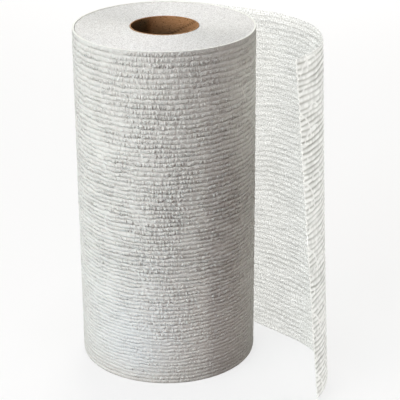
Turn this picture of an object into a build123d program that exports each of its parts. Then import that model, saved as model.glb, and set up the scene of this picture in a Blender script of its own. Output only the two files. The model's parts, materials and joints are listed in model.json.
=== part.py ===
from build123d import *
from math import radians
import os

# A paper towel roll that stands on one end, with the first stretch of its paper hanging loose.
# Millimetres. Z is the axis of the cardboard tube, and the roll stands on the plane Z = 0.

# The wound roll and its tube
roll_height = 279.0        # width of the paper, and length of the tube
roll_radius = 72.3         # outside the last turn
bore_radius = 26.2         # inside the tube
tube_wall = 0.8            # spiral wound cardboard
glue_line = 0.1            # clearance between the tube and the first turn

# The turns that show on both ends: a shallow ring stands for about sixteen of them
ring_step = 9.0
ring_width = 1.2
ring_depth = 0.5

# The loose stretch, seen from above, leaves the roll clockwise as three arcs in a row.
# Each arc has one length along the paper, and its own turn in degrees at the lower edge
# and at the upper edge, because the loose end leans outwards towards the floor.
sheet_thickness = 0.6      # two plies with their embossing
lift_angle = 64.8          # where it leaves the roll, from +X towards +Y
leave_length = 51.5        # just off the roll
bend_length = 48.1         # up to the far right
curl_length = 109.5        # the end that curls back towards the front
leave_turn_base = 19.9
bend_turn_base = 1.6
curl_turn_base = 74.6
leave_turn_top = 4.3
bend_turn_top = 31.5
curl_turn_top = 75.0

# Sizes that follow from these
tube_radius = bore_radius + tube_wall
first_turn_radius = tube_radius + glue_line
root_radius = roll_radius - sheet_thickness      # the loose stretch starts inside the last turn
loose_lengths = (leave_length, bend_length, curl_length)
base_turns = (leave_turn_base, bend_turn_base, curl_turn_base)
top_turns = (leave_turn_top, bend_turn_top, curl_turn_top)


def ringed_end(level, inwards):
    """Points across one end of the paper, from the tube to the side, with its shallow rings."""
    rings = int((roll_radius - first_turn_radius - ring_width) / ring_step)
    points = [(first_turn_radius, level)]
    for ring in range(rings):
        middle = first_turn_radius + (ring + 1) * ring_step
        points.append((middle - ring_width / 2, level))
        points.append((middle, level + inwards * ring_depth))
        points.append((middle + ring_width / 2, level))
    points.append((roll_radius, level))
    return points


def loose_outline(turns):
    """Outline of the loose stretch at one edge of the paper: two skins, the root and the free end."""
    radial = Vector(1, 0).rotate(Axis.Z, lift_angle)
    leaving = Vector(0, -1).rotate(Axis.Z, lift_angle)
    roots, free_ends = [], []
    for skin in (sheet_thickness / 2, -sheet_thickness / 2):
        point, heading = radial * (root_radius + skin), leaving
        roots.append(point)
        for length, turn in zip(loose_lengths, turns):
            arc = JernArc(point, heading, length / radians(turn) + skin, -turn)
            point, heading = arc @ 1, arc % 1
        free_ends.append(point)
    Line(*roots)
    Line(*free_ends)


# Cardboard tube, flush with both ends of the roll
with BuildPart() as core_tube:
    with BuildSketch(Plane.XY):
        Circle(tube_radius)
        Circle(bore_radius, mode=Mode.SUBTRACT)
    extrude(amount=roll_height)
core_tube.part.label = "core_tube"

# All the turns of the paper as one solid, with its loose stretch
with BuildPart() as towel_web:
    with BuildSketch(Plane.XZ):
        with BuildLine():
            Polyline(*ringed_end(0, 1), *reversed(ringed_end(roll_height, -1)), close=True)
        make_face()
    revolve(axis=Axis.Z)
    with BuildSketch(Plane.XY):
        with BuildLine():
            loose_outline(base_turns)
        make_face()
    with BuildSketch(Plane.XY.offset(roll_height)):
        with BuildLine():
            loose_outline(top_turns)
        make_face()
    loft(ruled=True)
towel_web.part.label = "towel_web"

os.makedirs("parts", exist_ok=True)
for piece in (core_tube, towel_web):
    export_step(piece.part, f"parts/{piece.part.label}.step")
    print(piece.part.label, "volume", round(piece.part.volume), "solids", len(piece.part.solids()))
print("loose stretch", round(sum(loose_lengths), 1), "mm long")
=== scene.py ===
# %% [markdown]
# # A paper towel roll
# The real thing is one long strip of embossed two-ply tissue, wound round a cardboard tube, with its first
# stretch pulled loose so that it hangs at the right and curls back to the front. The solid model gives the
# sizes and the places. This notebook makes the looks in the same frame, in metres: the strip with all its
# embossed ridges, the edges of the wound turns, the kraft tube, the light and the camera.

# %% Load the solid model
import json
import math

import bmesh
import bpy
import numpy as np
from mathutils import Matrix, Vector


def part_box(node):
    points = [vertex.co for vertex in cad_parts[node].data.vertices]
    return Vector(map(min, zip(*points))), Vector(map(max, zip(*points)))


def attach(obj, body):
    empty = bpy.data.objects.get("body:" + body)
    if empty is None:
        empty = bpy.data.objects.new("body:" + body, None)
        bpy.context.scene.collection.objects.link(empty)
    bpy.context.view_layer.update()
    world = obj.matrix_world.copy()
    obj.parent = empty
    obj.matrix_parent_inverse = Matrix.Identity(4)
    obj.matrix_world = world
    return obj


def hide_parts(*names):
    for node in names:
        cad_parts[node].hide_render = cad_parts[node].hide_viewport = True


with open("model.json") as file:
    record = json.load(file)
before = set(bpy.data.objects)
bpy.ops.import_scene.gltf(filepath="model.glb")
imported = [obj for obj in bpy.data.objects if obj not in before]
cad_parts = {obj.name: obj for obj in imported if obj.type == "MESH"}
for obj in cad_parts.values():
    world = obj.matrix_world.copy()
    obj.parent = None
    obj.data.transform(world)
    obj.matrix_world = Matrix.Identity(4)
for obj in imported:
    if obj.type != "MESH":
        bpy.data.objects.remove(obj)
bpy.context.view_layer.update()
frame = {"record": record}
MM = 0.001

# %% [markdown]
# ## Sizes
# The roll's own sizes are read from the solid model, so that the paper lies exactly where the solid is.
# The loose stretch is given as the solid gives it: three arcs in a row, seen from above, each with its
# length and with one turn at the lower edge and another at the upper edge.

# %% Sizes of the roll and of its loose stretch
web_low, web_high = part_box("towel_web")
tube_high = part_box("core_tube")[1]
bore = next(m for m in frame["record"]["mounts"] if m["name"] == "core_bore")
roll_height = web_high.z
roll_radius = -web_low.x
tube_radius = tube_high.x
bore_radius = bore["dims"]["r_mm"] * MM

sheet_thickness = 0.6 * MM
lift_angle = 64.8
loose_lengths = (51.5 * MM, 48.1 * MM, 109.5 * MM)
base_turns = (19.9, 1.6, 74.6)
top_turns = (4.3, 31.5, 75.0)
loose_length = sum(loose_lengths)
turn_length = math.tau * (roll_radius - sheet_thickness)
print("roll", round(roll_radius / MM, 2), "mm radius,", round(roll_height / MM, 1), "mm high")
print("loose stretch", round(loose_length / MM, 1), "mm, last turn", round(turn_length / MM, 1), "mm")

# %% [markdown]
# ## The camera
# Where a camera stood can be worked out from the outlines of round things: the two ellipses of the roll's
# ends fix its height, tilt and distance. The values here came from such a fit. The lens is a long one,
# because the roll's sides hardly draw together.

# %% Set the camera where the photograph was taken from
camera_place = Vector((0.0, -1.10004, 0.59362))
camera_yaw = math.radians(-1.41)
camera_pitch = math.radians(22.83)
camera_roll = math.radians(-0.33)
camera_lens = 130.97
sensor_width = 36.0


def put(name, data):
    """A new object in the scene, which shows the given mesh, curve, lamp or camera."""
    thing = bpy.data.objects.new(name, data)
    bpy.context.scene.collection.objects.link(thing)
    return thing


ahead = Vector((
    -math.sin(camera_yaw) * math.cos(camera_pitch),
    math.cos(camera_yaw) * math.cos(camera_pitch),
    -math.sin(camera_pitch),
))
level = Vector((math.cos(camera_yaw), math.sin(camera_yaw), 0.0))
over = level.cross(ahead)
right = level * math.cos(camera_roll) + over * math.sin(camera_roll)
up = over * math.cos(camera_roll) - level * math.sin(camera_roll)

camera = put("camera", bpy.data.cameras.new("camera"))
camera.data.lens = camera_lens
camera.data.sensor_width = sensor_width
turned = Matrix((right, up, -ahead)).transposed().to_4x4()
camera.matrix_world = Matrix.Translation(camera_place) @ turned
bpy.context.scene.camera = camera
print("camera", [round(x, 3) for x in camera_place], "lens", camera_lens)

# %% [markdown]
# ## Small helpers for node trees
# Every material and every Geometry Nodes tree below is built with the same function: it adds one node,
# gives it its settings and fills its inputs, either with a value or with a link from another node.
# A second one starts a material with an empty tree. Colours are written as sRGB hex values, as a colour
# picker shows them, and a third one turns them to linear.

# %% Helpers for nodes and colours
def add(tree, kind, settings=None, inputs=None):
    """Adds a node. settings are its own properties; inputs are values or output sockets to link from."""
    node = tree.nodes.new(kind)
    for key, value in (settings or {}).items():
        setattr(node, key, value)
    for key, value in (inputs or {}).items():
        if isinstance(value, bpy.types.NodeSocket):
            tree.links.new(value, node.inputs[key])
        else:
            node.inputs[key].default_value = value
    return node


def new_material(name):
    """A material whose node tree is still empty, and that tree."""
    material = bpy.data.materials.new(name)
    material.use_nodes = True
    material.node_tree.nodes.clear()
    return material, material.node_tree


def linear(hex_colour):
    """The linear RGBA of an sRGB hex colour such as "f2efe6"."""
    parts = [int(hex_colour[i:i + 2], 16) / 255 for i in (0, 2, 4)]
    return (*[p / 12.92 if p <= 0.04045 else ((p + 0.055) / 1.055) ** 2.4 for p in parts], 1.0)


print("white paper in linear light", [round(x, 3) for x in linear("f4f4f0")])

# %% [markdown]
# ## The tissue
# The paper is soft two-ply tissue: bleached wood pulp, creped while it dried and embossed between rollers.
# It has no gloss at all, so the roughness is at its end and the specular level is low. Three things are too
# small for the mesh and are bump, laid out on the paper's own UV map, which is in metres along and across
# it. The first is the grain of the pulp. The second is the finest of the little upright ticks, a good
# millimetre apart, which the rollers press into the ridges' lower flanks. The third is the fine ripple on
# the paper's back. The mesh says with attributes where the ticks and the ripple are, and how much painted
# shade a groove holds.

# %% The tissue's patterns
tick_spacing = 1.25 * MM
tick_length = 2.6 * MM
grain_size = 0.5 * MM
mottle_size = 7.0 * MM
mottle_share = 0.05
ripple_spacing = 1.9 * MM
weft_size = 1.2 * MM
wave_period = 0.31416        # the Wave texture's own period at a scale of 1


def tissue_patterns(tree):
    """The patterns that the tissue's bump and its colour share, as output sockets by name."""
    paper = add(tree, "ShaderNodeUVMap", {"uv_map": "paper"}).outputs["UV"]
    upright = add(tree, "ShaderNodeMapping", None, {
        "Vector": paper, "Scale": (1 / tick_spacing, 1 / tick_length, 1.0),
    }).outputs["Vector"]
    found = {mark: add(tree, "ShaderNodeAttribute", {"attribute_name": mark}).outputs["Fac"]
             for mark in ("ticks", "ripples", "shade")}
    for name, vector, size, detail, roughness in (
        ("tick noise", upright, 1.0, 1.0, 0.5),
        ("grain", paper, grain_size, 2.0, 0.7),
        ("weft", paper, weft_size, 1.0, 0.5),
        ("mottle", paper, mottle_size, 3.0, 0.6),
    ):
        found[name] = add(tree, "ShaderNodeTexNoise", {"noise_dimensions": "2D"}, {
            "Vector": vector, "Scale": 1 / size, "Detail": detail, "Roughness": roughness,
        }).outputs["Fac"]
    for name, low, high, to_low, to_high in (
        ("tick noise", 0.34, 0.64, 0.0, 1.0),
        ("weft", 0.3, 0.7, -0.7, 0.9),
        ("mottle", 0.3, 0.7, -mottle_share, mottle_share),
    ):
        found[name] = add(tree, "ShaderNodeMapRange", None, {
            "Value": found[name], "From Min": low, "From Max": high, "To Min": to_low, "To Max": to_high,
        }).outputs["Result"]
    wave = add(tree, "ShaderNodeTexWave", {"bands_direction": "Y"}, {
        "Vector": paper, "Scale": wave_period / ripple_spacing, "Distortion": 2.5,
        "Detail": 2.0, "Detail Scale": 0.6,
    })
    woven = add(tree, "ShaderNodeMath", {"operation": "MULTIPLY_ADD"}, {
        0: wave.outputs["Fac"], 1: 0.25, 2: found["weft"],
    })
    for name, pattern, mark in (
        ("fine ticks", found["tick noise"], "ticks"), ("fine ripples", woven.outputs["Value"], "ripples"),
    ):
        found[name] = add(tree, "ShaderNodeMath", {"operation": "MULTIPLY"}, {
            0: pattern, 1: found[mark],
        }).outputs["Value"]
    return found


print("ticks", tick_spacing / MM, "mm apart, ripples", ripple_spacing / MM, "mm apart")

# %% [markdown]
# A chain of Bump nodes carries the three fine reliefs. The colour holds painted shade: it runs from a pale
# white on what stands up to a dull one in what lies deep, so that a groove stays a little darker in any
# light. The ticked flanks are painted darker and a tick's crest paler, and the back's ripples a little
# darker.

# %% The tissue's bump and colour
ripple_depth = 0.18 * MM
tick_light = 0.40            # painted highlight: a tick's crest is paler than the flank that carries it
# painted shade on the ticked lower flanks
tick_shade = 0.26
ripple_shade = 0.32


def tissue_bump(tree, patterns, tick_depth, grain_depth):
    """The input for the normal of the tissue's skin: grain, then the back's ripples, then ticks."""
    normal = {}
    for name, depth in (("grain", grain_depth), ("fine ripples", ripple_depth), ("fine ticks", tick_depth)):
        bump = add(tree, "ShaderNodeBump", None, {
            "Strength": 1.0, "Distance": depth, "Height": patterns[name], **normal,
        })
        normal = {"Normal": bump.outputs["Normal"]}
    return normal


def tissue_colour(tree, patterns, pale, dull):
    """The tissue's colour: pale on its crests, with painted shade in its grooves and on its ticked flanks."""
    shares = {"fine ticks": -tick_light, "ticks": tick_shade, "fine ripples": ripple_shade, "shade": 1.0}
    mottle_and_shade = patterns["mottle"]
    for name, share in shares.items():
        mottle_and_shade = add(tree, "ShaderNodeMath", {"operation": "MULTIPLY_ADD"}, {
            0: patterns[name], 1: share, 2: mottle_and_shade,
        }).outputs["Value"]
    return add(tree, "ShaderNodeMix", {"data_type": "RGBA"}, {
        "Factor": mottle_and_shade, "A": linear(pale), "B": linear(dull),
    }).outputs["Result"]


# %% [markdown]
# The loose stretch is one sheet with light behind it, so much of its light comes through: a Translucent
# shader beside the Principled one does that, most of all on the inner skin. The ripples dim that light
# too, and painted shade darkens it in the grooves. Nothing comes through the wound paper, which lies on
# eighty turns more.

# %% Light through the tissue, and the two finishes
cloud_share = 0.50
groove_glow_shade = 0.35


def light_through(tree, surface, patterns, pale, dull, see_through):
    """Mixes in the light from behind, by one share on the outer skin and another on the inner skin."""
    cloudy = add(tree, "ShaderNodeMapRange", None, {
        "Value": patterns["fine ripples"], "From Min": -0.7, "From Max": 1.15, "To Max": cloud_share,
    })
    # painted shade: the grooves' shade mark darkens the light that comes through them
    shaded_glow = add(tree, "ShaderNodeMath", {"operation": "MULTIPLY_ADD", "use_clamp": True}, {
        0: patterns["shade"], 1: groove_glow_shade, 2: cloudy.outputs["Result"],
    })
    pulp_glow = add(tree, "ShaderNodeMix", {"data_type": "RGBA"}, {
        "Factor": shaded_glow.outputs["Value"], "A": linear(pale), "B": linear(dull),
    })
    glow = add(tree, "ShaderNodeBsdfTranslucent", None, {"Color": pulp_glow.outputs["Result"]})
    outer_share, inner_share = see_through
    skin = add(tree, "ShaderNodeMapRange", None, {
        "Value": patterns["ripples"], "To Min": outer_share, "To Max": inner_share,
    })
    return add(tree, "ShaderNodeMixShader", None, {
        "Fac": skin.outputs["Result"], 1: surface, 2: glow.outputs["BSDF"],
    }).outputs["Shader"]


def tissue_material(name, pale, dull, tick_depth, grain_depth, see_through):
    """Tissue: its white, its painted groove shade, its bumps' depths, and the shares of light through its
    skins.
    """
    material, tree = new_material(name)
    patterns = tissue_patterns(tree)
    pulp = add(tree, "ShaderNodeBsdfPrincipled", None, {
        "Base Color": tissue_colour(tree, patterns, pale, dull), "Roughness": 0.95, "Specular IOR Level": 0.2,
        **tissue_bump(tree, patterns, tick_depth, grain_depth),
    })
    surface = pulp.outputs["BSDF"]
    if see_through:
        surface = light_through(tree, surface, patterns, pale, dull, see_through)
    add(tree, "ShaderNodeOutputMaterial", None, {"Surface": surface})
    return material


# the second colour is the painted shade of the grooves and the ticked flanks
wound_tissue = tissue_material(
    "wound_tissue", "f5f6f1", "8a867f", tick_depth=1.50 * MM, grain_depth=0.08 * MM, see_through=None)
loose_tissue = tissue_material(
    "loose_tissue", "f9faf8", "6c6c65", tick_depth=0.50 * MM, grain_depth=0.06 * MM, see_through=(0.70, 0.85))
print("tissue materials", wound_tissue.name, loose_tissue.name)

# %% [markdown]
# ## What the emboss rollers leave in the paper
# Seen from a step away the paper is rows of low ridges that run round the roll, about eighty of them, wavy
# and a little broken. They stand closer together towards the floor. Thin pressed arcs cross them, a plain
# pattern that repeats. The relief is a function of two numbers, the place along the paper and the height
# across it, so NumPy works it out for every vertex at once.

# %% A soft random field, and the rule for the ridges
ridge_pitch_base = 3.05 * MM
ridge_pitch_top = 4.30 * MM
ridge_spread = 1.7          # how late the pitch opens towards the top
ridge_depth = 0.95 * MM
tick_height = 0.95 * MM     # the larger of the upright ticks, which the mesh can hold
faint_ticks = 0.60          # every second ridge has fainter ticks
relief_heights = (0, 20 * MM, 95 * MM, 150 * MM, 225 * MM, roll_height)
relief_shares = (0.45, 0.50, 0.90, 1.00, 0.86, 0.76)      # the relief is flatter near the two ends
ridge_wave = 0.21           # how far a ridge wanders, as a share of its pitch
edge_calm = 12 * MM         # so near to the paper's two edges the ridges run straighter
arc_flattens = 0.7          # a pressed arc takes this share of the ridges away


def soft_noise(along, across, cell_along, cell_across, seed):
    """A smooth random field between -1 and 1, with cells of the given size."""
    table = np.random.default_rng(seed).uniform(-1, 1, (128, 128))
    x, y = along / cell_along, across / cell_across
    i, j = np.floor(x).astype(int), np.floor(y).astype(int)
    fx, fy = x - i, y - j
    fx, fy = fx * fx * (3 - 2 * fx), fy * fy * (3 - 2 * fy)
    corner = [[table[(i + a) % 128, (j + b) % 128] for b in (0, 1)] for a in (0, 1)]
    low = corner[0][0] * (1 - fy) + corner[0][1] * fy
    high = corner[1][0] * (1 - fy) + corner[1][1] * fy
    return low * (1 - fx) + high * fx


def ease(x, low, high):
    """0 below low, 1 above high, and smooth between."""
    t = np.clip((x - low) / (high - low), 0, 1)
    return t * t * (3 - 2 * t)


def calm_edges(height):
    """0 at the paper's lower and upper edge, and 1 away from both."""
    return ease(height, 0, edge_calm) * ease(roll_height - height, 0, edge_calm)


heights = np.linspace(0, roll_height, 2001)
pitches = ridge_pitch_base + (ridge_pitch_top - ridge_pitch_base) * (heights / roll_height) ** ridge_spread
counts = np.concatenate([[0], np.cumsum(np.diff(heights) * 2 / (pitches[1:] + pitches[:-1]))])
ridge_count = round(counts[-1])
counts *= ridge_count / counts[-1]
print("ridges round the roll", ridge_count)

# %% [markdown]
# ## The pressed pattern
# Each arc is a distance: how far a point lies from a circle, kept only over part of its turn. The arcs are
# repeated by folding the coordinates into one cell, with every second column shifted by half a cell. A line
# is where the distance is under half its width.

# %% Pressed arcs
repeat_along = 62 * MM
repeat_across = 54 * MM
line_width = 1.6 * MM
line_depth = 0.40 * MM
# centre as shares of the cell, radius, first angle and sweep in degrees
arcs = (
    (0.50, 0.50, 22 * MM, 115, 70),
    (0.50, 0.50, 22 * MM, 225, 55),
    (0.50, 0.50, 14 * MM, 290, 120),
    (0.05, 0.30, 17 * MM, 20, 95),
    (0.05, 0.78, 9 * MM, 30, 120),
)


def pressed(along, across):
    """1 on a pressed line, 0 away from it."""
    column = np.floor(along / repeat_along)
    x = along - column * repeat_along
    y = across + column * repeat_across / 2
    y = y - np.floor(y / repeat_across) * repeat_across
    mark = np.zeros_like(x)
    for share_x, share_y, radius, start, sweep in arcs:
        for shift_x in (-repeat_along, 0, repeat_along):
            for shift_y in (-1.5, -1, -0.5, 0, 0.5, 1, 1.5):
                if (shift_x == 0) != (shift_y * 2 % 2 == 0):
                    continue
                dx = x - share_x * repeat_along - shift_x
                dy = y - share_y * repeat_across - shift_y * repeat_across
                turn = (np.degrees(np.arctan2(dy, dx)) - start) % 360
                gap = np.abs(np.hypot(dx, dy) - radius)
                mark = np.maximum(mark, (1 - ease(gap, 0.2 * line_width, 0.6 * line_width)) * (turn <= sweep))
    return mark


trial = np.linspace(0, 0.3, 200)
print("pressed share of the paper", round(float(pressed(*np.meshgrid(trial, trial)).mean()), 3))

# %% [markdown]
# ## The strip, first flat
# The last turn and the loose stretch are one strip. It is easiest to make it flat first: X along the paper,
# Z across it, and Y for the thickness and the relief. The rows of vertices follow the ridges, four to a
# ridge, so that a thin groove stays crisp with few faces. A ridge isn't even: its long lower flank carries
# the ticks and lies in shade, which its colour also paints, and its short upper flank is smooth and bright.
# Then Geometry Nodes bends the flat strip along its path. One mesh for all of it would be very heavy, so the
# last turn comes in three lengths, and the loose stretch is a piece of its own. All use the same rows and
# the same relief, so the skin runs on from piece to piece without a step.

# %% Rows that follow the ridges
# place in the ridge from below, height, painted shade, ticks
ridge_profile = (
    (0.00, 0.00, 1.00, 0.00),
    (0.27, 0.55, 0.42, 1.00),
    (0.60, 1.00, 0.00, 0.60),
    (0.87, 0.60, 0.08, 0.30),
)
row_counts = [ridge + row[0] for ridge in range(ridge_count) for row in ridge_profile]
row_counts = np.array(row_counts + [ridge_count])
row_crests, row_shades, row_ticks = (
    np.array([row[k] for row in ridge_profile] * ridge_count + [0.0]) for k in (1, 2, 3)
)
row_ticks *= np.where(np.floor(row_counts) % 2 == 1, 1.0, faint_ticks)
row_heights = np.interp(row_counts, counts, heights)
row_pitches = np.interp(row_heights, heights, pitches)


def wavy_rows(along):
    """Height of every row at every place along the paper: rows by columns."""
    place, rise = np.meshgrid(along, row_heights)
    wander = 0.8 * soft_noise(place, rise, 14 * MM, 7 * MM, 11)
    wander = wander + 0.8 * soft_noise(place, rise, 5 * MM, 4 * MM, 12)
    return rise + wander * (ridge_wave * row_pitches * calm_edges(row_heights))[:, None]


def ridge_relief(along, rows):
    """Three fields over places and rows: depth under the crests, painted groove shade, share of ticks."""
    place, rise = np.meshgrid(along, row_heights)
    strength = 0.92 + 0.16 * soft_noise(place, rise, 9 * MM, 3.4 * MM, 21)
    strength *= 0.95 + 0.1 * soft_noise(place, rise, 40 * MM, 40 * MM, 22)
    firm = np.interp(row_heights, relief_heights, relief_shares)[:, None]
    strength *= firm
    line = pressed(place, rows)
    strength *= 1 - arc_flattens * line
    # painted shade: the colour is darker by the profile's shade column
    groove = row_shades[:, None] * strength
    ticks = row_ticks[:, None] * np.clip(0.8 + 0.5 * soft_noise(place, rise, 11 * MM, 9 * MM, 23), 0, 1)
    ticks = ticks * firm * (1 - line)
    band = np.broadcast_to(np.floor(row_counts)[:, None] * 50 * MM, place.shape)
    upright = np.clip(1.4 * soft_noise(place, band, 1.05 * MM, 25 * MM, 24), -0.8, 0.6)
    upright *= ease(roll_height - rise, 2 * MM, 7 * MM)
    # two layers of paper lie close together where it leaves the roll, so the relief is half as deep there
    from_lift = np.minimum(-along, along + turn_length)
    room = 0.5 + 0.5 * ease(from_lift, 0, 25 * MM)
    depth = -ridge_depth * (1 - row_crests)[:, None] * strength * room - line_depth * line * firm
    depth += tick_height * upright * (ticks + 0.2 * firm * row_crests[:, None]) * (1 - line) * room
    # the paper's upper edge is cut, so it is nearly flat and holds none of the painted shade
    depth[-1] *= 0.35
    groove[-1] = 0
    return depth, groove, ticks


print("rows across the paper", len(row_heights))

# %% [markdown]
# A strip of paper is a closed thin box: an outer grid of points with the relief, an inner one, and four
# narrow sides. One function makes it, writes the paper map and stores what the material wants to know.

# %% A closed wall from two grids of points
def wall_mesh(name, outer, inner, marks):
    """A closed strip. outer and inner are rows by columns of points; inner may have two rows only.
    marks are the attributes, each a value for every outer point and one for all the inner ones."""
    rows, cols = outer.shape[:2]
    inner_rows = inner.shape[0]
    first = rows * cols
    points = np.concatenate([outer.reshape(-1, 3), inner.reshape(-1, 3)])
    out_at = np.arange(first).reshape(rows, cols)
    in_at = first + np.arange(inner_rows * cols).reshape(inner_rows, cols)

    def strip(a, b):
        return np.stack([a[..., :-1], a[..., 1:], b[..., 1:], b[..., :-1]], -1).reshape(-1, 4).tolist()

    faces = strip(out_at[:-1], out_at[1:]) + strip(in_at[1:], in_at[:-1])
    faces += strip(in_at[0], out_at[0]) + strip(out_at[-1], in_at[-1])
    if inner_rows == rows:
        faces += strip(out_at[:, 0], in_at[:, 0]) + strip(in_at[:, -1], out_at[:, -1])
    else:
        faces.append([*out_at[:, 0].tolist(), *in_at[::-1, 0].tolist()][::-1])
        faces.append([*out_at[:, -1].tolist(), *in_at[::-1, -1].tolist()])
    mesh = bpy.data.meshes.new(name)
    mesh.from_pydata(points.tolist(), [], faces)
    corners = np.zeros(len(mesh.loops), int)
    mesh.loops.foreach_get("vertex_index", corners)
    on_paper = points[corners][:, ::2]
    mesh.uv_layers.new(name="paper").data.foreach_set("uv", on_paper.ravel().astype(np.float32))
    for mark, (over, under) in marks.items():
        over = np.broadcast_to(over, (rows, cols)).ravel()
        values = np.concatenate([over, np.full(inner_rows * cols, under)])
        mesh.attributes.new(mark, "FLOAT", "POINT").data.foreach_set("value", values.astype(np.float32))
    return put(name, mesh)


# %% [markdown]
# ### The last turn, flat
# It runs clockwise, seen from above, from under the loose stretch and back to it. Its start lies one
# thickness further in than its end, because it is a turn of a spiral: that is where the next stretch of
# paper comes out from under it. Its wall is thicker than one sheet, because the rollers' relief presses
# into the turns below, and the deepest groove has to stay inside it. The length that faces the camera has
# the closest columns.

# %% The last turn
turn_wall = 1.35 * MM
turn_shade = 0.40            # painted shade in the grooves, beside the shade that their depth gives them
in_gap, in_shade, in_light = 66.8 / 360, 114.8 / 360, 246.8 / 360       # shares of the turn
turn_pieces = {
    "turn_right": np.concatenate([
        np.linspace(0, in_gap, 86, endpoint=False), np.linspace(in_gap, in_shade, 110),
    ]),
    "turn_front": np.linspace(in_shade, in_light, 304),
    "turn_back": np.linspace(in_light, 1.0, 150),
}
last_turn = []
for name, shares in turn_pieces.items():
    along = (shares - 1) * turn_length
    columns = len(along)
    rows = wavy_rows(along)
    relief, groove, ticks = ridge_relief(along, rows)
    outer = np.stack([np.broadcast_to(along, rows.shape), sheet_thickness / 2 + relief, rows], -1)
    edges = np.broadcast_to([[0.0], [roll_height]], (2, columns))
    under = np.broadcast_to(sheet_thickness / 2 - turn_wall - sheet_thickness * shares, (2, columns))
    inner = np.stack([np.broadcast_to(along, (2, columns)), under, edges], -1)
    marks = {"shade": (turn_shade * groove, 0.0), "ticks": (ticks, 0.0), "ripples": (0.0, 0.0)}
    piece = wall_mesh(name, outer, inner, marks)
    last_turn.append(piece)
    print(name, "flat:", len(piece.data.polygons), "faces, deepest", round(relief.min() / MM, 2), "mm")

# %% [markdown]
# ### The loose stretch, flat
# Away from the roll the paper is no longer pulled tight. The fine ridges fade into coarser ones, five rows
# of vertices to each, and both skins show: the outer one fully, the inner one as a faint copy with fine
# ripples. First come the places of its columns and rows, which drift a little up and down.

# %% Columns and rows of the loose stretch
flap_starts = 145 * MM       # beyond this place the outer skin faces the camera, and has the closest columns
settle_starts = 12 * MM      # the coarser ridges take over between these two places
settle_ends = 75 * MM
loose_profile = ((0.00, 0.00), (0.17, 0.55), (0.40, 1.00), (0.63, 0.90), (0.84, 0.48))
loose_along = np.concatenate([
    np.linspace(0, settle_ends, 48, endpoint=False),
    np.linspace(settle_ends, flap_starts, 24, endpoint=False),
    np.linspace(flap_starts, loose_length, 76),
])
settled = ease(loose_along, settle_starts, settle_ends)[None, :]
loose_ridge, loose_place = np.divmod(np.arange(len(row_heights)), len(loose_profile))
loose_pitch = roll_height * len(loose_profile) / (len(row_heights) - 1)
profile_places, profile_heights = (np.array(column) for column in zip(*loose_profile))
level_rows = ((loose_ridge + profile_places[loose_place]) * loose_pitch)[:, None]
place, level = np.meshgrid(loose_along, level_rows[:, 0])
drift = 0.30 * soft_noise(place, level, 24 * MM, 12 * MM, 31)
drift = drift + 0.12 * soft_noise(place, level, 8 * MM, 6 * MM, 32)
drift *= loose_pitch * calm_edges(level)
loose_rows = wavy_rows(loose_along) * (1 - settled) + (level_rows + drift) * settled
print("coarser ridges", round(loose_pitch / MM, 2), "mm apart, columns", len(loose_along))

# %% [markdown]
# The relief is a mix of the roll's own, near the place where the paper leaves it, and of the coarser one
# with its ticks. The pressed arcs show on the flap alone, because elsewhere the light comes from behind.

# %% Relief of the loose stretch
loose_depth = 0.55 * MM
loose_line_depth = 0.25 * MM
loose_tick_height = 0.32 * MM
fine_relief, fine_groove, fine_ticks = ridge_relief(loose_along, loose_rows)
coarse = profile_heights[loose_place][:, None]
vigour = 0.85 + 0.30 * soft_noise(place, level, 14 * MM, 5 * MM, 33)
line = pressed(place, loose_rows) * ease(place, flap_starts, flap_starts + 12 * MM)
loose_groove = (1 - coarse) * vigour * (1 - arc_flattens * line)
band = np.broadcast_to(loose_ridge[:, None] * 50 * MM, place.shape)
upright = soft_noise(place, band, 2.4 * MM, 25 * MM, 37) * coarse
coarse_relief = -loose_depth * loose_groove - loose_line_depth * line
coarse_relief = coarse_relief + loose_tick_height * upright * (1 - line)
relief = fine_relief * (1 - settled) + coarse_relief * settled
# painted shade: darker in the coarse grooves and paler on the ticks' crests
groove = fine_groove * (1 - settled) + (loose_groove - 0.26 * upright) * settled
coarse_ticks = (0.4 + 0.4 * (band / (50 * MM) % 2)) * coarse
coarse_ticks = coarse_ticks * np.clip(0.7 + 0.9 * soft_noise(place, level, 12 * MM, 9 * MM, 36), 0, 1)
loose_ticks = fine_ticks * (1 - settled) + coarse_ticks * settled
print("loose relief", round(relief.min() / MM, 2), "to", round(relief.max() / MM, 2), "mm")

# %% [markdown]
# The free edge is where a sheet was torn off along its perforation, so it carries small tabs of torn paper.
# Each is one or two rows long, which is as fine as these rows can draw it.

# %% The loose stretch
tab_spacing = 5.2 * MM
tab_length = 0.9 * MM
edge_fades = 1.5 * MM        # the painted shade and the ticks fade over the last millimetre before the edge, leaving a painted pale rim
back_share = 0.06            # how much of the relief the back shows
torn = tab_length * (np.cos(math.tau * level_rows / tab_spacing) > 0.55)
torn = torn * (0.5 + 0.5 * soft_noise(level_rows, level_rows, 3 * MM, 3 * MM, 35))
torn_place = place + np.where(loose_along >= loose_length, torn, 0.0)
back = -sheet_thickness / 2 + settled * back_share * (relief + 0.2 * MM)
outer = np.stack([torn_place, sheet_thickness / 2 + relief, loose_rows], -1)
inner = np.stack([torn_place, back, loose_rows], -1)
edge_highlight_fade = (1 - ease(loose_along, loose_length - edge_fades, loose_length - edge_fades / 3))[None, :]
groove = groove * edge_highlight_fade * (1 - line)
groove[-1] = 0
marks = {"shade": (groove, 0.0), "ticks": (loose_ticks * edge_highlight_fade, 0.0), "ripples": (0.0, 1.0)}
loose_towel = wall_mesh("loose_towel", outer, inner, marks)
print("loose stretch, flat:", len(loose_towel.data.polygons), "faces")

# %% [markdown]
# ## The paths
# Seen from above, the strip goes once round the roll, clockwise, and then leaves it on three arcs. The lower
# and the upper edge of the paper have a path each, because the loose end leans outwards near the floor.

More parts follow.
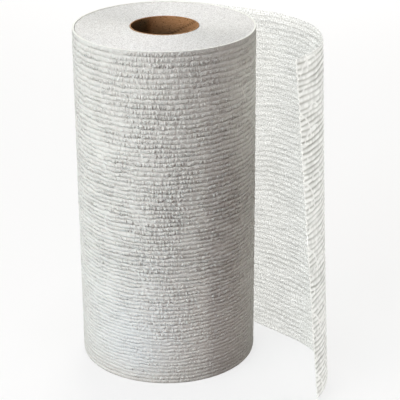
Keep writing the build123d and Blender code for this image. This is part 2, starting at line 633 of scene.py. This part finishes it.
# %% Draw the two paths
def draw_path(name, turns, height):
    """One edge of the paper as a fine chain of points, about half a millimetre apart."""
    step = 0.5 * MM
    heading = math.radians(lift_angle)
    count = round(turn_length / step)
    points = []
    for k in range(count + 1):
        part = k / count
        angle = heading + (1 - part) * math.tau
        radius = roll_radius - sheet_thickness / 2 - (1 - part) * sheet_thickness
        points.append(Vector((radius * math.cos(angle), radius * math.sin(angle), height)))
    heading -= math.pi / 2
    for length, turn in zip(loose_lengths, turns):
        count = round(length / step)
        for _ in range(count):
            heading -= math.radians(turn) / count / 2
            points.append(points[-1] + Vector((math.cos(heading), math.sin(heading), 0)) * (length / count))
            heading -= math.radians(turn) / count / 2
    points.append(points[-1] + Vector((math.cos(heading), math.sin(heading), 0)) * (2 * tab_length))
    curve = bpy.data.curves.new(name, "CURVE")
    curve.dimensions = "3D"
    spline = curve.splines.new("POLY")
    spline.points.add(len(points) - 1)
    spline.points.foreach_set("co", [x for p in points for x in (*p, 1.0)])
    return put(name, curve)


lower_path = draw_path("lower_path", base_turns, 0.0)
upper_path = draw_path("upper_path", top_turns, roll_height)
print("points on a path", len(lower_path.data.splines[0].points))

# %% [markdown]
# ## Bending the strip with Geometry Nodes
# For each vertex the tree reads how far along the paper it lies, finds that place on the lower and on the
# upper path, mixes the two by height, and steps sideways by the vertex's depth. Sideways is square to the
# path and to the roll's axis. The Sample Curve node does the hard part. Two functions make what both trees
# of this notebook share: named inputs at the start, and real geometry with its material at the end.

# %% The start and the end of a tree
def new_tree(name, inputs):
    """An empty Geometry Nodes tree, and its inputs: a geometry and what is named, each with its kind."""
    tree = bpy.data.node_groups.new(name, "GeometryNodeTree")
    tree.interface.new_socket("Geometry", in_out="INPUT", socket_type="NodeSocketGeometry")
    for title, kind in inputs.items():
        tree.interface.new_socket(title, in_out="INPUT", socket_type="NodeSocket" + kind)
    tree.interface.new_socket("Geometry", in_out="OUTPUT", socket_type="NodeSocketGeometry")
    return tree, add(tree, "NodeGroupInput").outputs


def close_tree(tree, geometry, material):
    """Ends a tree: its geometry is made real and takes its material."""
    real = add(tree, "GeometryNodeRealizeInstances", None, {0: geometry})
    dressed = add(tree, "GeometryNodeSetMaterial", None, {"Geometry": real.outputs[0], "Material": material})
    add(tree, "NodeGroupOutput", None, {0: dressed.outputs[0]})
    print("tree", tree.name, len(tree.nodes), "nodes")
    return tree


# %% The tree that bends a flat strip along two paths
def bending_tree():
    """Geometry Nodes: a flat strip in, the same strip along its paths out."""
    tree, given = new_tree("bend_paper", {
        "Lower path": "Object", "Upper path": "Object", "Paper width": "Float", "Start": "Float",
        "Material": "Material",
    })
    here = add(tree, "GeometryNodeInputPosition")
    flat = add(tree, "ShaderNodeSeparateXYZ", None, {0: here.outputs[0]}).outputs
    along = add(tree, "ShaderNodeMath", {"operation": "SUBTRACT"}, {0: flat["X"], 1: given["Start"]})
    across = add(tree, "ShaderNodeMath", {"operation": "DIVIDE"}, {0: flat["Z"], 1: given["Paper width"]})
    found = []
    for name in ("Lower path", "Upper path"):
        path = add(tree, "GeometryNodeObjectInfo", None, {"Object": given[name]})
        found.append(add(tree, "GeometryNodeSampleCurve", {"mode": "LENGTH", "data_type": "FLOAT"}, {
            "Curves": path.outputs["Geometry"], "Length": along.outputs[0],
        }).outputs)
    mixed = []
    for what in ("Position", "Tangent"):
        mixed.append(add(tree, "ShaderNodeMix", {"data_type": "VECTOR", "clamp_factor": False}, {
            "Factor": across.outputs[0], 4: found[0][what], 5: found[1][what],
        }).outputs[1])
    side = add(tree, "ShaderNodeVectorMath", {"operation": "CROSS_PRODUCT"}, {0: (0, 0, 1), 1: mixed[1]})
    unit = add(tree, "ShaderNodeVectorMath", {"operation": "NORMALIZE"}, {0: side.outputs[0]})
    step = add(tree, "ShaderNodeVectorMath", {"operation": "SCALE"}, {0: unit.outputs[0], "Scale": flat["Y"]})
    there = add(tree, "ShaderNodeVectorMath", {"operation": "ADD"}, {0: mixed[0], 1: step.outputs[0]})
    moved = add(tree, "GeometryNodeSetPosition", None, {
        "Geometry": given["Geometry"], "Position": there.outputs[0],
    })
    return close_tree(tree, moved.outputs[0], given["Material"])


# %% [markdown]
# A tree is only a recipe. It is run as a modifier on a piece, the result is kept as a plain mesh, and the
# modifier goes. Then every face is turned outwards, and only real creases stay sharp.

# %% Run a tree, and bend the strip
def run_tree(piece, tree, values):
    """Runs a tree on a piece and keeps the result as a plain mesh, with its faces outwards."""
    modifier = piece.modifiers.new("shape", "NODES")
    modifier.node_group = tree
    for socket in tree.interface.items_tree:
        if socket.in_out == "INPUT" and socket.name in values:
            modifier[socket.identifier] = values[socket.name]
    bpy.context.view_layer.update()
    shaped = bpy.data.meshes.new_from_object(piece.evaluated_get(bpy.context.evaluated_depsgraph_get()))
    piece.modifiers.remove(modifier)
    piece.data = shaped
    shaped.name = piece.name
    return finished(piece)


def finished(piece, crease_angle=50):
    """Turns all faces outwards, and shades the piece smooth except over its sharp edges."""
    body = bmesh.new()
    body.from_mesh(piece.data)
    bmesh.ops.recalc_face_normals(body, faces=body.faces)
    if body.calc_volume(signed=True) < 0:
        bmesh.ops.reverse_faces(body, faces=body.faces)
    body.to_mesh(piece.data)
    body.free()
    piece.data.shade_smooth()
    piece.data.set_sharp_from_angle(angle=math.radians(crease_angle))
    count = sum(len(p.vertices) - 2 for p in piece.data.polygons)
    print(piece.name, count, "triangles")
    return piece


bend_paper = bending_tree()
for piece, material in [(piece, wound_tissue) for piece in last_turn] + [(loose_towel, loose_tissue)]:
    run_tree(piece, bend_paper, {
        "Lower path": lower_path, "Upper path": upper_path, "Paper width": roll_height,
        "Start": -turn_length, "Material": material,
    })
for path in (lower_path, upper_path):
    bpy.data.objects.remove(path)

# %% [markdown]
# ## The wound turns
# Under the last turn lie about eighty more. Only their edges show, on the two ends, as very fine rings.
# The real paper is one strip on a spiral, and so is this piece: a Spiral curve, with a tall thin section
# swept along it. The section's ends are little roofs, so each turn's edge catches the light by itself, and
# a seeded noise lets the edges stand a touch higher or lower.

# %% The tree that winds the inner turns
edge_noise_size = 1.3 * MM


def winding_tree():
    """Geometry Nodes: a spiral with the paper's section swept along it."""
    tree, given = new_tree("wind_paper", {
        "Section": "Object", "Inner radius": "Float", "Outer radius": "Float", "Turns": "Float",
        "Last angle": "Float", "Paper width": "Float", "Unevenness": "Float", "Seed": "Float",
        "Points per turn": "Int", "Material": "Material",
    })
    spiral = add(tree, "GeometryNodeCurveSpiral", None, {
        "Resolution": given["Points per turn"], "Rotations": given["Turns"], "Height": 0.0,
        "Start Radius": given["Inner radius"], "End Radius": given["Outer radius"], "Reverse": True,
    })
    upright = add(tree, "GeometryNodeSetCurveNormal", {"mode": "Z_UP"}, {0: spiral.outputs[0]})
    section = add(tree, "GeometryNodeObjectInfo", None, {"Object": given["Section"]})
    swept = add(tree, "GeometryNodeCurveToMesh", None, {
        "Curve": upright.outputs[0], "Profile Curve": section.outputs["Geometry"], "Fill Caps": True,
    })
    spin = add(tree, "ShaderNodeCombineXYZ", None, {"Z": given["Last angle"]})
    half = add(tree, "ShaderNodeMath", {"operation": "MULTIPLY"}, {0: given["Paper width"], 1: 0.5})
    lift = add(tree, "ShaderNodeCombineXYZ", None, {"Z": half.outputs[0]})
    placed = add(tree, "GeometryNodeTransform", None, {
        "Geometry": swept.outputs[0], "Translation": lift.outputs[0], "Rotation": spin.outputs[0],
    })
    here = add(tree, "GeometryNodeInputPosition")
    edge = add(tree, "ShaderNodeTexNoise", {"noise_dimensions": "4D"}, {
        "Vector": here.outputs[0], "W": given["Seed"], "Scale": 1 / edge_noise_size, "Detail": 1.0,
    })
    level = add(tree, "ShaderNodeSeparateXYZ", None, {0: here.outputs[0]})
    upper = add(tree, "ShaderNodeMath", {"operation": "GREATER_THAN"}, {
        0: level.outputs["Z"], 1: half.outputs[0],
    })
    # an uneven edge goes inwards: down at the upper end, up at the lower one
    side = add(tree, "ShaderNodeMapRange", None, {"Value": upper.outputs[0], "To Min": 1.0, "To Max": -1.0})
    drop = add(tree, "ShaderNodeMath", {"operation": "MULTIPLY"}, {
        0: edge.outputs["Fac"], 1: given["Unevenness"],
    })
    inwards = add(tree, "ShaderNodeMath", {"operation": "MULTIPLY"}, {
        0: drop.outputs[0], 1: side.outputs["Result"],
    })
    shift = add(tree, "ShaderNodeCombineXYZ", None, {"Z": inwards.outputs[0]})
    uneven = add(tree, "GeometryNodeSetPosition", None, {
        "Geometry": placed.outputs[0], "Offset": shift.outputs[0],
    })
    return close_tree(tree, uneven.outputs[0], given["Material"])


# %% [markdown]
# The cut edges of the turns have a finish of their own: no embossing, only the fuzz of cut tissue. The noise
# reads Object coordinates, because this mesh has no paper map that would mean anything on a cut edge.

# %% The cut edge's material
speckle_size = 0.8 * MM
fuzz_depth = 0.12 * MM


def cut_edge_material(name, pale, dull):
    """The ends of the wound turns: packed edges of cut tissue, matt and faintly speckled."""
    material, tree = new_material(name)
    place = add(tree, "ShaderNodeTexCoord")
    speckle = add(tree, "ShaderNodeTexNoise", None, {
        "Vector": place.outputs["Object"], "Scale": 1 / speckle_size, "Detail": 1.0, "Roughness": 0.6,
    })
    spread = add(tree, "ShaderNodeMapRange", None, {
        "Value": speckle.outputs["Fac"], "From Min": 0.38, "From Max": 0.66,
    })
    colour = add(tree, "ShaderNodeMix", {"data_type": "RGBA"}, {
        "Factor": spread.outputs["Result"], "A": linear(pale), "B": linear(dull),
    })
    fuzz = add(tree, "ShaderNodeBump", None, {
        "Strength": 1.0, "Distance": fuzz_depth, "Height": speckle.outputs["Fac"],
    })
    pulp = add(tree, "ShaderNodeBsdfPrincipled", None, {
        "Base Color": colour.outputs["Result"], "Roughness": 0.95, "Specular IOR Level": 0.2,
        "Normal": fuzz.outputs["Normal"],
    })
    add(tree, "ShaderNodeOutputMaterial", None, {"Surface": pulp.outputs["BSDF"]})
    return material


cut_tissue = cut_edge_material("cut_tissue", "f4f4f3", "cdccca")
print("edge material", cut_tissue.name)

# %% Wind the inner turns
turn_pitch = 0.55 * MM
roof = 0.14 * MM             # how far the middle of a turn's edge stands over its sides
glue_gap = 0.1 * MM
inner_radius = tube_radius + glue_gap
outer_radius = roll_radius - sheet_thickness - turn_wall
turns = round((outer_radius - inner_radius) / turn_pitch)
turn_pitch = (outer_radius - inner_radius) / turns

half_wide, half_tall = turn_pitch / 2, roll_height / 2
section = put("section", bpy.data.curves.new("section", "CURVE"))
outline = section.data.splines.new("POLY")
corners = ((-1, 1), (0, 0), (1, 1))
shape = [(x * half_wide, -half_tall + down * roof) for x, down in corners]
shape += [(x * half_wide, half_tall - down * roof) for x, down in reversed(corners)]
outline.points.add(len(shape) - 1)
outline.points.foreach_set("co", [v for x, y in shape for v in (x, y, 0.0, 1.0)])
outline.use_cyclic_u = True

inner_turns = put("inner_turns", bpy.data.meshes.new("inner_turns"))
run_tree(inner_turns, winding_tree(), {
    "Section": section, "Inner radius": inner_radius + half_wide, "Outer radius": outer_radius - half_wide,
    "Turns": float(turns - 1), "Last angle": math.radians(lift_angle), "Paper width": roll_height,
    "Unevenness": 0.25 * MM, "Seed": 4.0, "Points per turn": 180, "Material": cut_tissue,
})
bpy.data.objects.remove(section)
print("turns", turns, "of", round(turn_pitch / MM, 3), "mm")

# %% [markdown]
# ## The cardboard tube
# The tube is two plies of brown kraft board, wound on a slant and glued. Inside, the edge of the inner ply
# shows as one thin slanting seam that climbs round the bore. The wall is a stack of rings of points, with
# the seam pressed in where a slanted coordinate comes near a whole number.

# %% Kraft board
fibre_size = 3.5 * MM
fibre_stretch = 5.0
fleck_size = 1.4 * MM
board_grain = 0.08 * MM
ply_slant = -28              # degrees from level


def kraft_material(name, pale, dull, fleck):
    """Kraft board: brown recycled pulp, matt, with long fibres along the ply and a few dark flecks."""
    material, tree = new_material(name)
    board = add(tree, "ShaderNodeUVMap", {"uv_map": "paper"})
    stretched = add(tree, "ShaderNodeMapping", None, {
        "Vector": board.outputs["UV"], "Rotation": (0, 0, math.radians(ply_slant)),
        "Scale": (1.0, fibre_stretch, 1.0),
    })
    fibre = add(tree, "ShaderNodeTexNoise", {"noise_dimensions": "2D"}, {
        "Vector": stretched.outputs["Vector"], "Scale": 1 / fibre_size, "Detail": 4.0, "Roughness": 0.7,
    })
    specks = add(tree, "ShaderNodeTexNoise", {"noise_dimensions": "2D"}, {
        "Vector": board.outputs["UV"], "Scale": 1 / fleck_size, "Detail": 2.0,
    })
    toned = add(tree, "ShaderNodeMapRange", None, {
        "Value": fibre.outputs["Fac"], "From Min": 0.3, "From Max": 0.7,
    })
    colour = add(tree, "ShaderNodeMix", {"data_type": "RGBA"}, {
        "Factor": toned.outputs["Result"], "A": linear(pale), "B": linear(dull),
    })
    sparse = add(tree, "ShaderNodeMapRange", None, {
        "Value": specks.outputs["Fac"], "From Min": 0.66, "From Max": 0.72,
    })
    shade = add(tree, "ShaderNodeAttribute", {"attribute_name": "shade"})
    dark = add(tree, "ShaderNodeMath", {"operation": "MAXIMUM"}, {
        0: sparse.outputs["Result"], 1: shade.outputs["Fac"],
    })
    flecked = add(tree, "ShaderNodeMix", {"data_type": "RGBA"}, {
        "Factor": dark.outputs["Value"], "A": colour.outputs["Result"], "B": linear(fleck),
    })
    bumps = add(tree, "ShaderNodeBump", None, {
        "Strength": 1.0, "Distance": board_grain, "Height": fibre.outputs["Fac"],
    })
    pulp = add(tree, "ShaderNodeBsdfPrincipled", None, {
        "Base Color": flecked.outputs["Result"], "Roughness": 0.85, "Specular IOR Level": 0.25,
        "Normal": bumps.outputs["Normal"],
    })
    add(tree, "ShaderNodeOutputMaterial", None, {"Surface": pulp.outputs["BSDF"]})
    return material


kraft = kraft_material("kraft_board", "c99c70", "a3774c", "4c3420")
print("board", kraft.name, "fibres", fibre_size / MM, "mm wide")

# %% Roll the tube
seam_lead = 95 * MM
seam_width = 1.1 * MM
seam_depth = 0.30 * MM
seam_shade = 0.7
tube_columns, tube_rows = 160, 200

angles = np.linspace(0, math.tau, tube_columns, endpoint=False)
levels = np.append(np.linspace(0, roll_height, tube_rows), (roll_height, 0.0))[:, None]
inside = np.arange(len(levels))[:, None] < tube_rows      # the last two rings are the outer wall
slant = (levels / seam_lead + angles / math.tau) % 1.0
near_seam = np.minimum(slant, 1 - slant) * seam_lead
seam = (1 - ease(near_seam, 0.2 * seam_width, seam_width)) * inside
radius = np.where(inside, bore_radius + seam_depth * seam, tube_radius)
levels = np.broadcast_to(levels, radius.shape)
points = np.stack([radius * np.cos(angles), radius * np.sin(angles), levels], -1)

at = np.arange(radius.size).reshape(radius.shape)
follow = np.roll(at, -1, axis=0)
quads = np.stack([at, np.roll(at, -1, 1), np.roll(follow, -1, 1), follow], -1).reshape(-1, 4)
mesh = bpy.data.meshes.new("kraft_tube")
mesh.from_pydata(points.reshape(-1, 3).tolist(), [], quads.tolist())
print("tube", len(quads), "faces, seam every", round(seam_lead / MM), "mm")

# %% [markdown]
# The board's own map is in metres round the bore and up it. The faces that close the ring would run back
# over the whole map, so their low side is moved on by its length.

# %% Lay the board's map and its finish on the tube
around = np.broadcast_to(angles * bore_radius, radius.shape)
board = np.stack([around, levels], -1).reshape(-1, 2)[quads]
reach = around.max()
jump = np.ptp(board[:, :, 0], axis=1) > 0.5 * reach
board[:, :, 0] += (jump[:, None] & (board[:, :, 0] < 0.5 * reach)) * reach
mesh.uv_layers.new(name="paper").data.foreach_set("uv", board.ravel().astype(np.float32))
shade = (seam_shade * seam).ravel().astype(np.float32)
mesh.attributes.new("shade", "FLOAT", "POINT").data.foreach_set("value", shade)
mesh.materials.append(kraft)
kraft_tube = finished(put("kraft_tube", mesh))

# %% [markdown]
# ## Telling the frame what each piece is
# All the pieces belong to the roll's one body. The last turn, the loose stretch and the inner turns
# together stand for the solid paper, and the tube for the solid tube.

# %% Pieces and their body
for piece in (*last_turn, loose_towel, inner_turns):
    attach(piece, "root")
    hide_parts("towel_web")
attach(kraft_tube, "root")
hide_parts("core_tube")

# %% [markdown]
# ## The floor
# A plain pale surface, as a studio has. It is large enough to fill the picture from any side. Part of its
# light is its own, so that it is as white as the photograph's background. It throws none on the paper,
# which would be lit from below all round: small lamps on the floor stand for its bounced light.

# %% The floor
floor_half = 4.0
floor_glow_share = 0.75
corners = [(x * floor_half, y * floor_half, 0) for x, y in ((-1, -1), (1, -1), (1, 1), (-1, 1))]
floor_mesh = bpy.data.meshes.new("floor")
floor_mesh.from_pydata(corners, [], [(0, 1, 2, 3)])
floor = put("floor", floor_mesh)
floor.visible_diffuse = False
floor_paint, tree = new_material("matt_floor")
floor_coat = add(tree, "ShaderNodeBsdfDiffuse", None, {"Color": linear("f7f7f7"), "Roughness": 0.0})
floor_glow = add(tree, "ShaderNodeEmission", None, {"Color": linear("fbfbfb"), "Strength": 1.0})
floor_both = add(tree, "ShaderNodeMixShader", None, {
    "Fac": floor_glow_share, 1: floor_coat.outputs["BSDF"], 2: floor_glow.outputs["Emission"],
})
add(tree, "ShaderNodeOutputMaterial", None, {"Surface": floor_both.outputs["Shader"]})
floor_mesh.materials.append(floor_paint)
print("floor", 2 * floor_half, "m wide")

# %% [markdown]
# ## Two dark cards
# The loose stretch is bright, and it would throw that brightness on the roll's right side, which the
# photograph shows in a deep warm shade. A photographer would hold a dark card in between. This one is a thin
# curved strip that only bounced light can meet. It lets part of that through, and more near its top, where
# the photograph's shade is lighter. A second card stands in the tube, before its left wall, which is nearly
# black in the photograph. It stops all light. The camera sees neither.

# %% The card in the gap and the card in the tube
grade_starts = 0.55          # below this share of its height a card is dark all over
card_steps = 40


def dark_card(name, radius, first, last, top, dark, dark_top, stops_lamps):
    """An upright curved strip round the roll's axis, between two angles, that stops part of the light."""
    points = []
    for angle in np.radians(np.linspace(first, last, card_steps + 1)):
        points += [(radius * math.cos(angle), radius * math.sin(angle), height) for height in (0.0, top)]
    faces = [(2 * k, 2 * k + 2, 2 * k + 3, 2 * k + 1) for k in range(card_steps)]
    mesh = bpy.data.meshes.new(name)
    mesh.from_pydata(points, [], faces)
    card = put(name, mesh)
    for way in ("camera", "glossy", "transmission", "volume_scatter"):
        setattr(card, "visible_" + way, False)
    card.visible_shadow = stops_lamps
    paint, tree = new_material(name + "_paint")
    place = add(tree, "ShaderNodeTexCoord")
    height = add(tree, "ShaderNodeSeparateXYZ", None, {0: place.outputs["Object"]})
    graded = add(tree, "ShaderNodeMapRange", {"interpolation_type": "SMOOTHSTEP"}, {
        "Value": height.outputs["Z"], "From Min": grade_starts * top, "From Max": top,
        "To Min": dark, "To Max": dark_top,
    })
    clear = add(tree, "ShaderNodeBsdfTransparent")
    black = add(tree, "ShaderNodeBsdfDiffuse", None, {"Color": linear("2a2420")})
    both = add(tree, "ShaderNodeMixShader", None, {
        "Fac": graded.outputs["Result"], 1: clear.outputs["BSDF"], 2: black.outputs["BSDF"],
    })
    add(tree, "ShaderNodeOutputMaterial", None, {"Surface": both.outputs["Shader"]})
    mesh.materials.append(paint)
    return card


gap_card = dark_card(
    "gap_card", radius=roll_radius + 2.5 * MM, first=-62, last=50,
    top=roll_height, dark=0.60, dark_top=0.15, stops_lamps=False)
tube_card = dark_card(
    "tube_card", radius=0.93 * bore_radius, first=118, last=300,
    top=roll_height - 0.8 * MM, dark=1.0, dark_top=1.0, stops_lamps=True)
print("cards", gap_card.name, tube_card.name)

# %% [markdown]
# ## The light
# The photograph was taken in a white room. A wide soft window stands to the left, low enough that the
# roll's left side is flat and bright while the light grazes its middle, where every ridge and tick shows.
# Four lamps side by side make it up. It leaves the right side in a warm shade, which two weak lamps, one
# over and one under the camera, lift a little. A bright ceiling whitens the upper end, and a wall behind
# the roll lights its back. The lamps stand on one sphere round the roll and face its middle, so each needs
# only an azimuth, seen from the camera and positive to the right, an elevation, a size, a power and a tint.
#
# Lit white walls behind and at the right also shine through the loose stretch. They would burn out the
# roll's back and wash out its right side, so light linking lets these three lamps light the loose stretch
# alone. They are small and low, so that nothing spills over the paper's upper edge into the gap.
# Three small lamps lie on the floor and stand for the light that a white floor throws back.

# %% The lamps
lamp_distance = 1.8
middle = Vector((0, 0, 0.14))
# azimuth and elevation in degrees, size in metres, watts, tint
lamps = {
    "window": (-45, 18, 0.45, 7.3, "f9fdff"),
    "window_side": (-60, 20, 0.45, 4.9, "ffeee6"),
    "window_far": (-75, 12, 0.45, 8.0, "fff7f9"),
    "window_low": (-55, 5, 0.45, 1.6, "a8fff2"),
    "over_camera": (-25, 40, 0.45, 2.8, "c4e1ff"),
    "front": (6, 12, 0.45, 3.7, "ffd6c9"),
    "ceiling": (0, 88, 0.70, 13.0, "fbfefc"),
    "ceiling_back": (180, 60, 0.60, 10.4, "fffaf1"),
    "wall_behind": (175, 12, 0.60, 11.0, "fffdfb"),
}
# these light the loose stretch alone
glow_lamps = {
    "wall_front": (38, 8, 0.30, 32.0, "fffefe"),
    "wall_right": (75, 3, 0.30, 15.0, "fffefe"),
    "wall_back": (160, 3, 0.30, 35.0, "fcfbff"),
}
# azimuth, distance from the axis and size in metres, watts, tint
floor_glows = {
    "floor_left": (-50, 0.35, 0.25, 0.30, "f5fffd"),
    "floor_front": (-30, 0.17, 0.12, 0.03, "8ec8ff"),
    "floor_right": (20, 0.19, 0.12, 0.025, "ffe6e0"),
}
floor_lamp_height = 2 * MM
watts = [row[3] for group in (lamps, glow_lamps, floor_glows) for row in group.values()]
print("lamps", len(watts), "with", round(sum(watts), 1), "watts")


# %% Hang the lamps
def hang_lamp(name, place, aim, size, power, tint, only=None):
    """A square area lamp that the camera doesn't see. Where only is a piece, it lights that piece alone."""
    lamp = bpy.data.lights.new(name, "AREA")
    lamp.shape = "SQUARE"
    lamp.size = size
    lamp.energy = power
    lamp.color = linear(tint)[:3]
    source = put(name, lamp)
    facing = (aim - place).to_track_quat("-Z", "Y").to_matrix().to_4x4()
    source.matrix_world = Matrix.Translation(place) @ facing
    source.visible_camera = False
    if only:
        lit = bpy.data.collections.new(name + "_lights")
        lit.objects.link(only)
        source.light_linking.receiver_collection = lit


for group, only in ((lamps, None), (glow_lamps, loose_towel)):
    for name, (azimuth, elevation, size, power, tint) in group.items():
        a, e = math.radians(azimuth), math.radians(elevation)
        away = Vector((math.sin(a) * math.cos(e), -math.cos(a) * math.cos(e), math.sin(e)))
        hang_lamp(name, middle + lamp_distance * away, middle, size, power, tint, only)
for name, (azimuth, away, size, power, tint) in floor_glows.items():
    a = math.radians(azimuth)
    place = Vector((away * math.sin(a), -away * math.cos(a), floor_lamp_height))
    hang_lamp(name, place, place + Vector((0, 0, 1)), size, power, tint)

# %% [markdown]
# What is left is the room's own dim light from everywhere. The view transform is Standard, so that the
# whites stay as they are lit.

# %% The room
room_strength = 0.085
world = bpy.data.worlds.new("room")
world.use_nodes = True
world.node_tree.nodes.clear()
room = add(world.node_tree, "ShaderNodeBackground", None, {
    "Color": linear("fff8f4"), "Strength": room_strength,
})
add(world.node_tree, "ShaderNodeOutputWorld", None, {"Surface": room.outputs["Background"]})
bpy.context.scene.world = world
bpy.context.scene.view_settings.view_transform = "Standard"
bpy.context.scene.view_settings.look = "None"
print("room light", room_strength)
